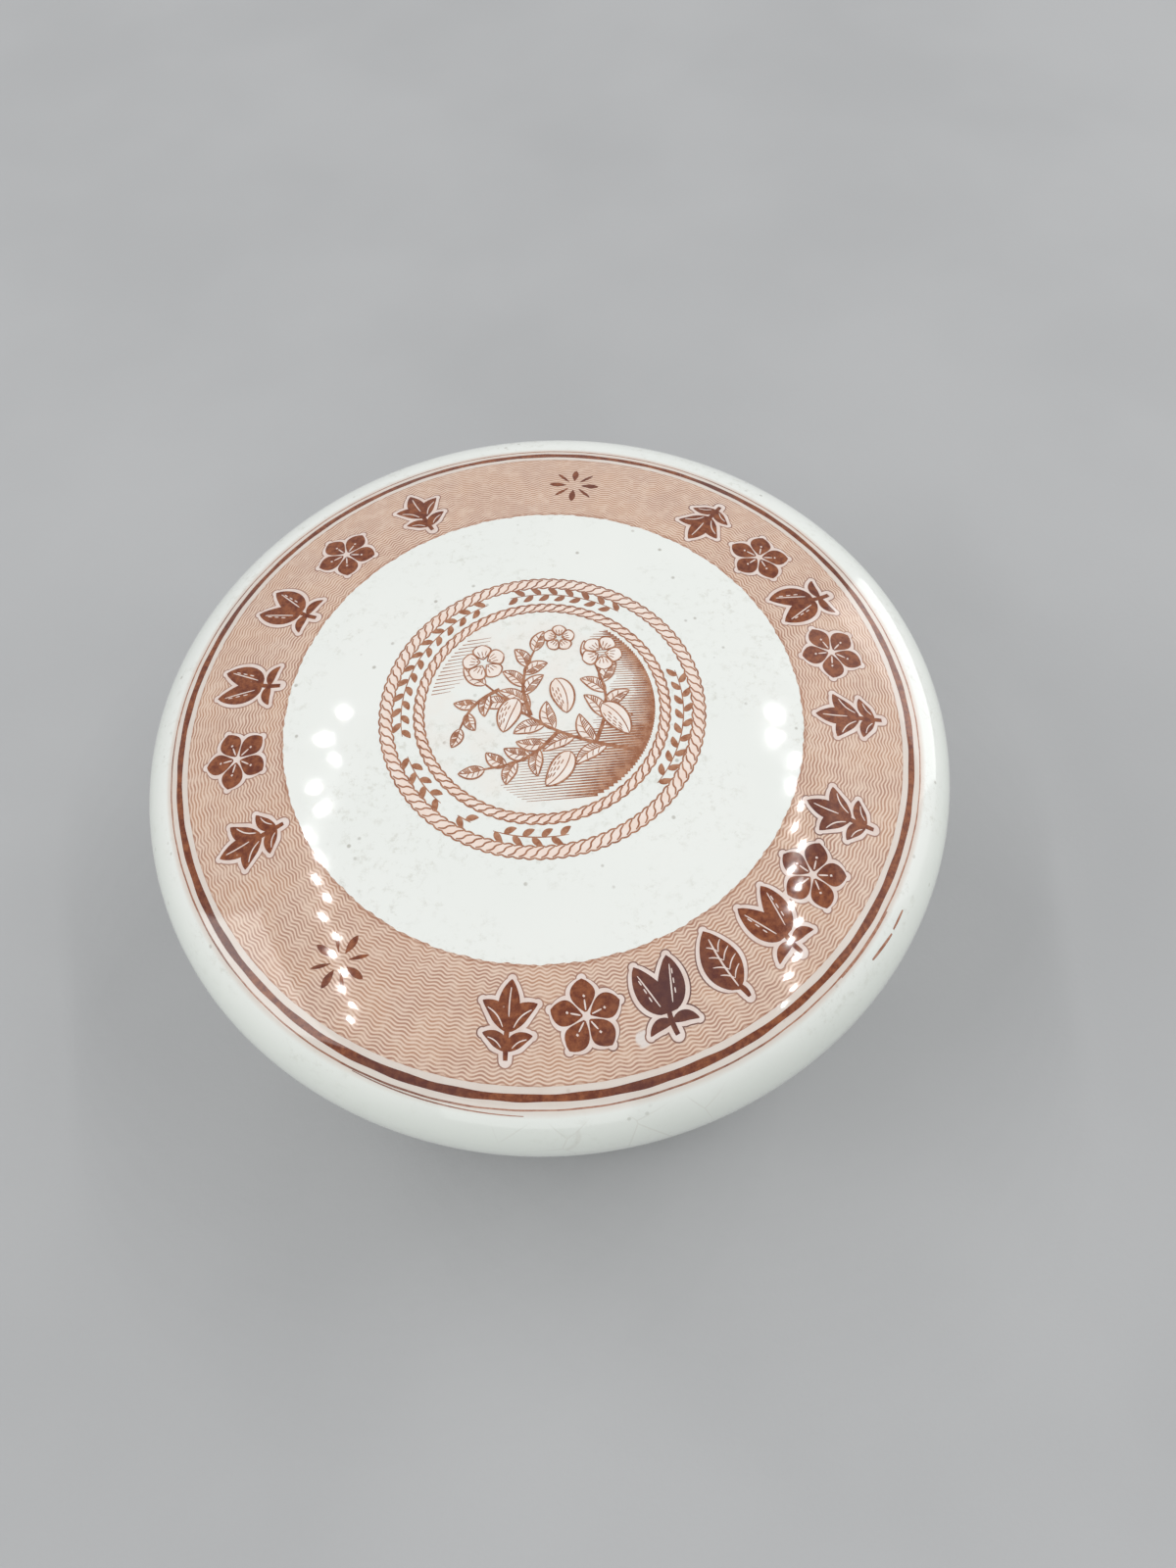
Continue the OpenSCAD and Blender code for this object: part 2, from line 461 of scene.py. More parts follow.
def turned(outline, sides, shift=None):
    """Outline of radius and height, from pole to pole, carried round the axis; shift moves its points.

    A point is (r cos t, r sin t, z) and each pole is one point with a fan of triangles.
    """
    turn = np.linspace(0, TURN, sides, endpoint=False)
    r, z = outline[1:-1, 0][:, None], outline[1:-1, 1][:, None]
    points = np.stack(np.broadcast_arrays(r * np.cos(turn), r * np.sin(turn), z), -1)
    rows = len(points)
    poles = np.zeros((2, 3))
    poles[:, 2] = outline[[0, -1], 1]
    if shift is not None:
        points = shift(points)
        poles[:, 2] = shift(np.array([poles[:1] + [[1e-6, 0, 0]], poles[1:] + [[1e-6, 0, 0]]]))[:, 0, 2]
    at = np.arange(rows * sides).reshape(rows, sides)
    next_at = np.roll(at, -1, axis=1)
    quads = np.stack([at[:-1], at[1:], next_at[1:], next_at[:-1]], -1).reshape(-1, 4)
    top = np.stack([np.full(sides, rows * sides), at[0], next_at[0]], -1)
    end = np.stack([np.full(sides, rows * sides + 1), next_at[-1], at[-1]], -1)
    return np.concatenate([points.reshape(-1, 3), poles]), quads.tolist() + top.tolist() + end.tolist()


def arc(x, z, radius, start, end, step):
    """Points on an arc about (x, z), its angles measured from upright, no further apart than step."""
    count = max(2, math.ceil(abs(end - start) * radius / step) + 1)
    angle = np.linspace(start, end, count)
    return np.stack([x + radius * np.sin(angle), z + radius * np.cos(angle)], -1)


def rounded(corners, step=1.0):
    """Outline through corners (x, z, radius), each rounded by its radius, with no gap longer than step."""
    corners = np.array(corners, float)
    parts = [corners[:1, :2]]
    for before, corner, after in zip(corners[:-2], corners[1:-1], corners[2:]):
        back = before[:2] - corner[:2]
        on = after[:2] - corner[:2]
        back, on = back / np.linalg.norm(back), on / np.linalg.norm(on)
        half = math.acos(float(back @ on)) / 2
        middle = corner[:2] + (back + on) / np.linalg.norm(back + on) * corner[2] / math.sin(half)
        start = corner[:2] + back * corner[2] / math.tan(half) - middle
        side = -1 if back[0] * on[1] - back[1] * on[0] > 0 else 1
        angle = np.linspace(0, side * (math.pi - 2 * half), 9)[:, None]
        across = np.array([-start[1], start[0]])
        parts.append(middle + start * np.cos(angle) + across * np.sin(angle))
    parts.append(corners[-1:, :2])
    return filled(np.concatenate(parts), step)


def filled(line, step):
    """The same line with points added so that no gap is longer than step."""
    gaps = np.linalg.norm(np.diff(line, axis=0), axis=1)
    keep = np.concatenate([[True], gaps > 1e-6])
    line = line[keep]
    gaps = np.linalg.norm(np.diff(line, axis=0), axis=1)
    at = np.concatenate([[0], np.cumsum(gaps)])
    counts = np.maximum(1, np.ceil(gaps / step)).astype(int)
    places = [np.linspace(a, b, n, endpoint=False) for a, b, n in zip(at[:-1], at[1:], counts)]
    places = np.concatenate(places + [at[-1:]])
    return np.stack([np.interp(places, at, line[:, k]) for k in range(2)], -1)


# ---------------------------------------------------------------- lid


def lid_outline():
    """The lid in section: panel, band and edge arcs, its seat, the flange and the hollow under it."""
    top = np.concatenate([
        arc(0, PANEL_Z, PANEL_ARC, 0, PANEL_SLOPE, 0.55),
        arc(BAND_X, BAND_Z, BAND_ARC, PANEL_SLOPE, SHOULDER_SLOPE, 0.45)[1:],
        arc(EDGE_X, EDGE_Z, EDGE_R, SHOULDER_SLOPE, TUCK, 0.4)[1:],
    ])
    last = math.asin((HOLLOW_R - LID_ROUND - BAND_X) / (BAND_ARC - LID_WALL))
    inner = np.concatenate([
        arc(BAND_X, BAND_Z, BAND_ARC - LID_WALL, last, PANEL_SLOPE, 1.0),
        arc(0, PANEL_Z, PANEL_ARC - LID_WALL, PANEL_SLOPE, 0, 1.0)[1:],
    ])
    under = rounded([
        [top[-1, 0], top[-1, 1], 0],
        [EDGE_X + EDGE_R * math.sin(TUCK) - 0.25 * SOFT, SEAT, SOFT],
        [FLANGE_R, SEAT, 0.3],
        [FLANGE_R, SEAT - FLANGE_DEPTH, SOFT],
        [HOLLOW_R, SEAT - FLANGE_DEPTH, SOFT],
        [HOLLOW_R, inner[0, 1] - LID_ROUND * math.tan(last), LID_ROUND],
        [inner[0, 0], inner[0, 1], 0],
    ])
    return np.concatenate([top, under[1:-1], inner])


def fired(points):
    """Adds the warp to the lid's top and a slow waver to the outline of its edge, none at the seat."""
    x, y, z, r, turn = round_axis(points)
    above = smooth(z, SEAT + 0.5, SEAT + EDGE_H)
    waver = 0.10 * np.sin(2 * turn + 1.0) + 0.05 * np.sin(3 * turn) + 0.03 * np.sin(7 * turn + 0.5)
    outer = above * smooth(r, TRUE_R, LID_R)
    hidden = (z < lid_height(x, y) - 0.5 * LID_WALL) & (r < EDGE_X)
    grow = 1 + np.where(hidden, 0, waver * outer / np.maximum(r, 1))
    lift = np.where(hidden, 0, sag(x, y) * above)
    return np.stack([x * grow, y * grow, z + lift], -1)


points, faces = turned(lid_outline(), 360, fired)
lid = make_piece("lid_shell", points, faces, lid_finish(), "lid")
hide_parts("lid")

# ---------------------------------------------------------------- print on the lid

SINK = 0.02     # how far a printed patch reaches into the lid
STEP = 0.0003   # how much higher each patch lies than the one before
CYCLE = 24      # patches after which the steps begin again


def ribbon(path, half, across):
    """Grid over a path: path + t * half * left, with t from -1 to 1. Any leading axes are kept."""
    ahead = np.gradient(path, axis=-2)
    left = np.stack([-ahead[..., 1], ahead[..., 0]], -1)
    left = left / np.maximum(np.linalg.norm(left, axis=-1, keepdims=True), 1e-9)
    t = np.linspace(-1, 1, across)[:, None]
    return path[..., :, None, :] + t * (half[..., :, None, None] * left[..., :, None, :])


def slab_faces(rows, columns):
    """Faces of a closed slab over a grid: its top, its bottom turned over, and a wall round both."""
    count = rows * columns
    top = cells_of(rows, columns)
    at = np.arange(count).reshape(rows, columns)
    loop = np.concatenate([at[:-1, 0], at[-1, :-1], at[:0:-1, -1], at[0, :0:-1]])
    after = np.roll(loop, -1)
    wall = np.stack([loop, loop + count, after + count, after], -1)
    return top, top[:, ::-1] + count, wall


def on_lid(grid, lift):
    """A flat grid about the middle of the print: raised over the lid, sunk into it, and the lid's normals."""
    x, y = grid[..., 0] + PRINT[0], grid[..., 1] + PRINT[1]
    normal = lid_normal(x, y)
    base = np.stack([x, y, lid_height(x, y)], -1)
    return base + normal * lift, base - normal * SINK, normal


def wall_normals(points, walls):
    """Unit normal of each four-sided face, from its diagonals, once for each of its corners."""
    ends = points[walls]
    out = np.cross(ends[:, 2] - ends[:, 0], ends[:, 3] - ends[:, 1])
    out = out / np.maximum(np.linalg.norm(out, axis=1, keepdims=True), 1e-12)
    return np.repeat(out, 4, 0)


def printed(name, batches, material):
    """A printed patch is a thin closed slab that follows the lid, with the lid's own normals on its top.

    A batch is (grids, lift): flat grids about the middle of the print, and how high the first lies.
    """
    all_points, all_faces, all_normals, total = [], [], [], 0
    for grids, lift in batches:
        grids = np.asarray(grids, float)
        count, rows, columns = grids.shape[:3]
        lifts = (lift + STEP * (np.arange(count) % CYCLE))[:, None, None, None]
        high, low, normal = on_lid(grids, lifts)
        points = np.stack([high, low], 1).reshape(-1, 3)
        top, bottom, wall = slab_faces(rows, columns)
        jumps = (np.arange(count) * 2 * rows * columns)[:, None, None]
        normal = np.stack([normal, -normal], 1).reshape(-1, 3)
        flat = [(block[None] + jumps).reshape(-1, 4) for block in (top, bottom, wall)]
        all_normals += [normal[flat[k]].reshape(-1, 3) for k in range(2)] + [wall_normals(points, flat[2])]
        all_faces += [block + total for block in flat]
        all_points.append(points)
        total += len(points)
    faces = np.concatenate(all_faces).tolist()
    return make_piece(
        name, np.concatenate(all_points), faces, material, "lid", np.concatenate(all_normals),
    )


def around(radius, start, end, count):
    """Path along a circle about the middle of the print, its angles in degrees."""
    angle = np.radians(np.linspace(start, end, count))
    radius = np.broadcast_to(radius, angle.shape)
    return np.stack([radius * np.cos(angle), radius * np.sin(angle)], -1)


def bow(start, end, bend, count=17):
    """Path from start to end that bows to its left by bend times its length: a half sine."""
    start, end = np.array(start, float), np.array(end, float)
    s = np.linspace(0, 1, count)[:, None]
    along = end - start
    return start + along * s + np.array([-along[1], along[0]]) * bend * np.sin(math.pi * s)


def swell(width, count=17, where=0.85, blunt=0.8, tip=0.03):
    """Half width along a leaf: a sine that peaks nearer the base when where is below 1."""
    s = np.linspace(0, 1, count)
    return tip + width * np.sin(math.pi * s ** where) ** blunt


def steady(width, count=17, tip=0.5):
    """Half width of a drawn line that thins towards its ends."""
    s = np.linspace(0, 1, count)
    return width * (tip + (1 - tip) * np.sin(math.pi * s) ** 0.5)


def moved(path, angle, place, size=1.0):
    """Path made larger by size, turned by an angle in degrees and then carried to a place."""
    c, s = math.cos(math.radians(angle)), math.sin(math.radians(angle))
    return size * path @ np.array([[c, s], [-s, c]]) + np.asarray(place, float)


# Each ornament is a list of solid strokes and a list of pale strokes over them, drawn with +y up.


def leaf_ornament():
    """A broad leaf on a short stem, with a pale midrib and side veins."""
    solid = [
        (bow((0, -2.3), (0, 3.15), 0.03), swell(1.62)),
        (bow((0.35, -3.15), (0, -1.9), -0.08), steady(0.24)),
    ]
    pale = [(bow((0, -2.0), (0, 2.35), 0.03), steady(0.085))]
    for y, reach in ((-1.35, 0.95), (-0.55, 1.15), (0.3, 1.0), (1.1, 0.7)):
        for side in (-1, 1):
            pale.append((bow((0.13, y), (0.13 + side * reach, y + 0.8), 0.08 * side), steady(0.055, tip=0.3)))
    return solid, pale


def blossom_ornament():
    """A blossom of five petals with a pale middle and stamens."""
    solid, pale = [], []
    for k in range(5):
        out = np.array([math.sin(TURN * k / 5), math.cos(TURN * k / 5)])
        solid.append((bow(out * 0.3, out * 3.0, 0.03), swell(1.0, where=1.25, blunt=0.75)))
        pale.append((bow(out * 0.5, out * 1.35, 0.0), steady(0.07, tip=0.4)))
        pale.append((bow(out * 1.62 + 0.06, out * 1.62 - 0.06, 0.0), steady(0.1, tip=0.9)))
    pale.append((bow((-0.34, 0), (0.34, 0), 0.0), swell(0.34, where=1.0, blunt=0.5)))
    return solid, pale


def almond_ornament():
    """Two almonds on a forked stem with a small leaf on each side."""
    solid, pale = [(bow((0, -3.15), (0, -1.1), 0.04), steady(0.22, tip=0.9))], []
    for side in (-1, 1):
        nut = bow((side * 0.12, -1.35), (side * 1.45, 2.95), -side * 0.05)
        solid.append((nut, swell(1.12, where=0.8, blunt=0.75)))
        solid.append((bow((0, -2.1), (side * 2.15, -2.55), side * 0.16), swell(0.42)))
        pale.append((bow((side * 0.55, -0.7), (side * 1.42, 2.2), 0.0), steady(0.06)))
        for k in range(3):
            low = np.array([side * (1.05 + 0.16 * k), -0.1 + 0.75 * k])
            pale.append((bow(low, low + [side * 0.1, 0.42], 0.0), steady(0.055)))
    return solid, pale


def sprig_ornament():
    """An upright sprig of five leaves on one stem."""
    solid = [
        (bow((0, -3.15), (0, 0.6), 0.02), steady(0.22, tip=0.8)),
        (bow((0, -0.35), (0, 3.15), 0.02), swell(0.85)),
    ]
    pale = [(bow((0, 0.2), (0, 2.5), 0.02), steady(0.06))]
    for side in (-1, 1):
        solid.append((bow((0, -1.0), (side * 2.25, 1.35), side * 0.12), swell(0.74)))
        solid.append((bow((0, -2.45), (side * 2.05, -1.15), side * 0.12), swell(0.56)))
        pale.append((bow((side * 0.45, -0.62), (side * 1.8, 0.85), side * 0.1), steady(0.06)))
        pale.append((bow((side * 0.45, -2.2), (side * 1.6, -1.45), side * 0.1), steady(0.05)))
    return solid, pale


SPRIG, BLOSSOM, ALMONDS, LEAF = sprig_ornament(), blossom_ornament(), almond_ornament(), leaf_ornament()
ORNAMENT_SIZE = 1.14
# Angles of a group of ornaments round the band, how they are turned, and which they are.
GROUPS = (
    ((111.3, 129.6, 146.5, 165.2, 181.5, 198.9), -90, (SPRIG, BLOSSOM, ALMONDS, ALMONDS, BLOSSOM, SPRIG)),
    (
        (259.1, 272.0, 285.2, 297.0, 308.5, 320.0, 333.1), 90,
        (SPRIG, BLOSSOM, ALMONDS, LEAF, ALMONDS, BLOSSOM, SPRIG),
    ),
    ((353.9, 8.5, 21.2, 35.0, 49.2), 90, (SPRIG, BLOSSOM, ALMONDS, BLOSSOM, SPRIG)),
)
HALO = 0.42     # how far the pale halo and the line round it reach beyond the ink
CONTOUR = 0.56
CAP = np.array([0.999, 0.92, 0.7, 0.38])    # how far out the points of a rounded end lie


def grown(path, half, by):
    """Stroke grown by a margin: wider by it, with a round cap on each end, half a circle of the new width."""
    ahead = path[1] - path[0]
    onward = path[-1] - path[-2]
    first, last = half[0] + by, half[-1] + by
    before = path[0] - CAP[:, None] * first * ahead / np.linalg.norm(ahead)
    after = path[-1] + CAP[::-1, None] * last * onward / np.linalg.norm(onward)
    narrow = np.sqrt(1 - CAP ** 2)
    widths = np.concatenate([first * narrow, half + by, last * narrow[::-1]])
    return np.concatenate([before, path, after]), widths


def band_strokes():
    """Every ornament's solid and pale strokes, turned and carried to its place on the band."""
    solid, pale = [], []
    for angles, upright, kinds in GROUPS:
        for angle, (strokes, lights) in zip(angles, kinds):
            place = on_circle(ORNAMENT_R, angle)
            for kept, drawn in ((solid, strokes), (pale, lights)):
                for path, half in drawn:
                    path = moved(path, angle + upright, place, ORNAMENT_SIZE)
                    kept.append((path, half * ORNAMENT_SIZE))
    return solid, pale


def ribbons(strokes, across=5, grow=0.0):
    """Grids over strokes of the same length, each stroke grown all round by a margin."""
    if grow:
        strokes = [grown(path, half, grow) for path, half in strokes]
    paths, halves = (np.array(part) for part in zip(*strokes))
    return ribbon(paths, halves, across)


SOLID, PALE = band_strokes()

INK_FINISH = ink_finish("band_ink", INK_PALE, INK, INK_PURPLE)
CONTOUR_FINISH = ink_finish("contour_ink", colour(0.42, 0.24, 0.17), colour(0.30, 0.16, 0.12), INK_PURPLE)
HALO_FINISH = tint_finish("halo_tint", colour(0.76, 0.66, 0.61), colour(0.70, 0.57, 0.51))

printed("band_contours", [(ribbons(SOLID, 5, CONTOUR), 0.010)], CONTOUR_FINISH)
printed("band_halos", [(ribbons(SOLID, 5, HALO), 0.018), (ribbons(PALE, 3), 0.034)], HALO_FINISH)
printed("band_ornaments", [(ribbons(SOLID, 5), 0.026)], INK_FINISH)


STARS = ((78.4, 32.6), (228.1, 32.5))   # angle and radius of the middle of each star


def star_strokes():
    """Two stars of eight loose rays, bold ones and thin ones in turn."""
    strokes = []
    for angle, radius in STARS:
        place = on_circle(radius, angle)
        for k in range(8):
            out = np.array([math.sin(TURN * k / 8), math.cos(TURN * k / 8)])
            half = swell((0.34, 0.16)[k % 2], where=1.2)
            strokes.append((moved(bow(out * 0.9, out * 2.9, 0.0), angle + 90, place), half))
    return strokes


printed("band_stars", [(ribbons(star_strokes(), 3), 0.020)], INK_FINISH)


def band_grid():
    """The band as one grid: rows round the lid and columns outwards, its inner edge ragged."""
    rows, columns = 1048, 15
    turn = np.linspace(0, TURN, rows, endpoint=False)[:, None]
    t = np.linspace(0, 1, columns)
    ragged = 0.04 * np.sin(WAVES * turn) + 0.035 * np.sin(37 * turn + 1) + 0.025 * np.sin(83 * turn + 2)
    ragged = ragged + 0.02 * np.sin(211 * turn) * np.sin(19 * turn)
    radius = (BAND_IN + ragged) * (1 - t) + (BAND_OUT + 0.25 * ragged) * t
    return np.stack([radius * np.cos(turn), radius * np.sin(turn)], -1)


def closed_band(name, grid, lift, material, mapped=False):
    """A ring-shaped printed slab whose rows close on themselves; columns run outwards."""
    rows, columns = grid.shape[:2]
    high, low, normal = on_lid(grid, lift)
    points = np.concatenate([high.reshape(-1, 3), low.reshape(-1, 3)])
    count = rows * columns
    at = np.arange(count).reshape(rows, columns)
    after = np.roll(at, -1, axis=0)
    top = np.stack([at[:, :-1], at[:, 1:], after[:, 1:], after[:, :-1]], -1).reshape(-1, 4)
    outer = np.stack([at[:, -1], at[:, -1] + count, after[:, -1] + count, after[:, -1]], -1)
    inner = np.stack([after[:, 0], after[:, 0] + count, at[:, 0] + count, at[:, 0]], -1)
    walls = np.concatenate([outer, inner])
    flat = normal.reshape(-1, 3)
    sheets = [flat[top].reshape(-1, 3), -flat[top[:, ::-1]].reshape(-1, 3)]
    normals = np.concatenate(sheets + [wall_normals(points, walls)])
    faces = np.concatenate([top, top[:, ::-1] + count, walls])
    piece = make_piece(name, points, faces.tolist(), material, "lid", normals)
    if mapped:
        lay_flat(piece, rows, columns, top)
    return piece


def lay_flat(piece, rows, columns, top):
    """Map for a ring: four quarter turns laid out as strips one above the other, the hidden faces below."""
    row, column = np.divmod(top, columns)
    row = np.where((row == 0) & (row.max(1) == rows - 1)[:, None], rows, row)
    quarter = np.minimum(row.min(1) * 4 // rows, 3)[:, None]
    u = row * 4 / rows - quarter
    t = column / (columns - 1)
    shown = np.stack([0.004 + 0.992 * u, 0.075 + (quarter + 0.02 + 0.94 * t) * 0.23], -1)
    hidden = np.stack([0.004 + 0.992 * u, 0.004 + (quarter + 0.05 + 0.9 * t) * 0.012], -1)[:, ::-1]
    walls = np.zeros((2 * rows, 4, 2))
    side = np.arange(2 * rows)[:, None] / (2 * rows)
    walls[..., 0] = 0.004 + 0.99 * (side + np.array([0, 0, 1, 1]) / (2 * rows))
    walls[..., 1] = 0.058 + np.array([0.0, 0.008, 0.008, 0.0])
    layer = piece.data.uv_layers.new(name="OFBake")
    uv = np.concatenate([shown.reshape(-1, 2), hidden.reshape(-1, 2), walls.reshape(-1, 2)])
    layer.uv.foreach_set("vector", uv.astype(np.float32).ravel())


closed_band("band_print", band_grid(), 0.006, band_finish(), mapped=True)


def line_ring(radius, half, sides):
    """A ring drawn by a pen whose line wavers a little in place and in width."""
    turn = np.linspace(0, TURN, sides, endpoint=False)
    waver = 0.02 * np.sin(5 * turn) + 0.015 * np.sin(17 * turn + 2) + 0.01 * np.sin(61 * turn)
    width = half * (1 + 0.10 * np.sin(9 * turn + 1) + 0.08 * np.sin(43 * turn))
    edges = radius + waver[:, None] + width[:, None] * np.array([-1.0, 0.0, 1.0])
    return np.stack([edges * np.cos(turn)[:, None], edges * np.sin(turn)[:, None]], -1)


closed_band("ring_bold", line_ring(BOLD_R, BOLD_HALF, 720), 0.014, INK_FINISH)
THIN_FINISH = ink_finish("thin_ink", colour(0.46, 0.25, 0.17), colour(0.30, 0.12, 0.07), INK_PURPLE)
closed_band("ring_thin", line_ring(THIN_R, THIN_HALF, 720), 0.010, THIN_FINISH)
# Strokes where the transfer slipped: radius at both ends, angle at both ends, half width.
SLIPS = (
    (41.2, 41.42, 315.7, 320.6, 0.12),
    (41.35, 41.3, 321.2, 324.4, 0.10),
    (39.98, 40.0, 310.4, 322.5, 0.08),
    (40.02, 40.28, 238.0, 262.0, 0.05),
)
slips = [
    (around(np.linspace(near, far, 17), start, end, 17), steady(half))
    for near, far, start, end, half in SLIPS
]
printed("ring_slips", [(ribbons(slips, 3), 0.016)], THIN_FINISH)

# ---------------------------------------------------------------- seal in the middle of the lid


def rope(low, high, strands):
    """A twisted rope laid in a ring: strokes for its scalloped edges and for the S between strands."""
    pitch = 360 / strands
    strokes = []
    s = np.linspace(0, 1, 9)
    for k in range(strands):
        start = k * pitch
        bulge = 0.13 * (high - low) * np.sin(math.pi * s)
        strokes.append((around(high - 0.08 + bulge, start, start + pitch, 9), steady(0.085, 9, 0.8)))
        strokes.append((around(low + 0.08 - bulge, start, start + pitch, 9), steady(0.085, 9, 0.8)))
        angle = start + pitch * (0.55 + 1.25 * (1 - s) - 0.16 * np.sin(TURN * s))
        radius = low + 0.1 + (high - low - 0.2) * s
        path = np.stack([radius * np.cos(np.radians(angle)), radius * np.sin(np.radians(angle))], -1)
        strokes.append((path, steady(0.09, 9, 0.7)))
    return strokes


SEAL_FINISH = ink_finish(
    "seal_ink", colour(0.44, 0.22, 0.13), colour(0.28, 0.10, 0.045), colour(0.26, 0.11, 0.07),
)
SEAL_TINT = tint_finish("seal_tint", colour(0.84, 0.74, 0.67), colour(0.82, 0.66, 0.57))
ROPES = ((15.65, 16.9, 96), (12.3, 13.3, 74))   # inner and outer radius, and number of strands
strokes = [stroke for low, high, strands in ROPES for stroke in rope(low, high, strands)]
printed("seal_ropes", [(ribbons(strokes, 2), 0.016)], SEAL_FINISH)
for name, (low, high, strands) in zip(("outer_rope_tint", "inner_rope_tint"), ROPES):
    turn = np.linspace(0, TURN, 360, endpoint=False)[:, None]
    radius = np.linspace(low + 0.05, high - 0.05, 4)
    ring = np.stack([radius * np.cos(turn), radius * np.sin(turn)], -1)
    closed_band(name, ring, 0.006, SEAL_TINT)

GARLAND_R = 14.68
# First and last angle of each run of leaves.
GARLAND = ((50.3, 98.4), (109.0, 186.2), (195.7, 221.4), (230.1, 236.2), (245.7, 275.2), (316.8, 372.1))


def garland():
    """Runs of small leaves, set left and right of a thin stem in turn, between the two ropes."""
    strokes = []
    for start, end in GARLAND:
        count = max(2, round((end - start) / 3.5))
        strokes.append((around(GARLAND_R, start, end, 17), steady(0.06)))
        for k in range(count):
            angle = start + (end - start) * (k + 0.2) / count
            place = around(GARLAND_R, angle, angle, 1)[0]
            tilt = 38 if k % 2 else -38
            path = moved(bow((0.02, 0), (1.35, 0), 0.08 if k % 2 else -0.08), angle + 90 + tilt, place)
            strokes.append((path, swell(0.31)))
    return strokes


printed("seal_garland", [(ribbons(garland(), 3), 0.012)], SEAL_FINISH)

WELL_R = 11.75  # radius of the drawing inside the ropes
WEIGHT = 1.25   # weight of the drawing's lines
LEVEL = 0.018   # height of each level of the drawing over the one below


def leaf_drawing(base, tip, bend, width, hatches=10):
    """An engraved leaf, its lines and its ground: both edges, a midrib and hatching."""
    path, half = bow(base, tip, bend), swell(width, tip=0.0)
    sides = ribbon(path, half, 3)
    lines = [(sides[:, 0], steady(0.06)), (sides[:, 2], steady(0.075)), (path, steady(0.05))]
    for k in np.linspace(2, 13, hatches).astype(int):
        lines.append((bow(path[k], sides[k + 2, 0] * 0.9 + path[k + 2] * 0.1, 0.05), steady(0.05)))
        if k % 3 == 0:
            lines.append((bow(path[k], sides[k + 2, 2] * 0.8 + path[k + 2] * 0.2, -0.05), steady(0.04)))
    return lines, [(path, half)]


def almond_drawing(base, tip, bend, width):
    """An engraved almond: its outline, a seam and short grain lines down its shaded side."""
    path, half = bow(base, tip, bend), swell(width, where=0.8, blunt=0.65, tip=0.0)
    sides = ribbon(path, half, 9)
    lines = [(sides[:, 0], steady(0.08)), (sides[:, 8], steady(0.08)), (sides[:, 5], steady(0.05))]
    for column, first in ((1, 3), (2, 5), (3, 4)):
        for start in range(first, 13, 3):
            lines.append((bow(sides[start, column], sides[start + 2, column], 0.03), steady(0.045)))
    return lines, [(path, half)]


def blossom_drawing(middle, size, turn):
    """An engraved blossom: five petals with a fold in each, and dots round the middle."""
    lines, ground = [], []
    middle = np.array(middle, float)
    for k in range(5):
        angle = math.radians(turn + 72 * k)
        out = np.array([math.cos(angle), math.sin(angle)])
        path = bow(middle + out * 0.18 * size, middle + out * size, 0.03)
        half = swell(0.42 * size, where=1.35, blunt=0.7, tip=0.0)
        sides = ribbon(path, half, 5)
        ground.append((path, half))
        lines += [(sides[:, 0], steady(0.07)), (sides[:, 4], steady(0.07))]
        for column in (1, 2, 3):
            lines.append((bow(sides[4, column], sides[9, column], 0.02), steady(0.04)))
        dot = middle + out * 0.3 * size
        lines.append((bow(dot - 0.07, dot + 0.07, 0.0), steady(0.09)))
    return lines, ground


def twig(start, end, bend, side_first, leaves, length, width):
    """A twig with leaves left and right in turn and one at its end."""
    path = bow(start, end, bend)
    lines, ground = [(path, np.linspace(0.17, 0.08, 17))], []
    for k in range(leaves):
        at = int(3 + 12 * k / leaves)
        ahead = path[at + 1] - path[at]
        heading = math.degrees(math.atan2(ahead[1], ahead[0]))
        side = side_first * (1 if k % 2 == 0 else -1)
        reach = length * (1 - 0.25 * k / leaves)
        away = moved(np.array([[reach, 0.0]]), heading + side * 48, path[at])[0]
        more, fill = leaf_drawing(path[at], away, -0.10 * side, width)
        lines += more
        ground += fill
    ahead = path[-1] - path[-3]
    away = path[-1] + ahead / np.linalg.norm(ahead) * length * 0.85
    more, fill = leaf_drawing(path[-1], away, 0.05, width)
    return lines + more, ground + fill


def hatched_ground():
    """Ruled shading: level lines from the right edge to a wavy front, and a few at the upper left."""
    lines = []
    for y in np.arange(-10.8, 10.0, 0.30):
        edge = math.sqrt(WELL_R ** 2 - y * y)
        front = 6.6 + 1.2 * math.sin(0.75 * y) + 0.45 * math.sin(2.9 * y)
        if y < -3.2:
            front = max(-1.0 + 0.6 * (y + 3.2) + 0.7 * math.sin(2.3 * y), 1.0 - 0.75 * edge)
        if edge - front > 0.8:
            lines.append((bow((edge, y), (front, y + 0.12), 0.006), np.linspace(0.085, 0.025, 17)))
            middle = front + 0.55 * (edge - front)
            lines.append((bow((edge, y + 0.15), (middle, y + 0.24), 0.006), np.linspace(0.07, 0.02, 17)))
    for y in np.arange(3.0, 9.6, 0.45):
        edge = -math.sqrt(WELL_R ** 2 - y * y)
        front = edge + 2.6 + 0.6 * math.sin(1.7 * y)
        lines.append((bow((edge, y), (front, y + 0.1), -0.006), np.linspace(0.06, 0.02, 17)))
    return lines


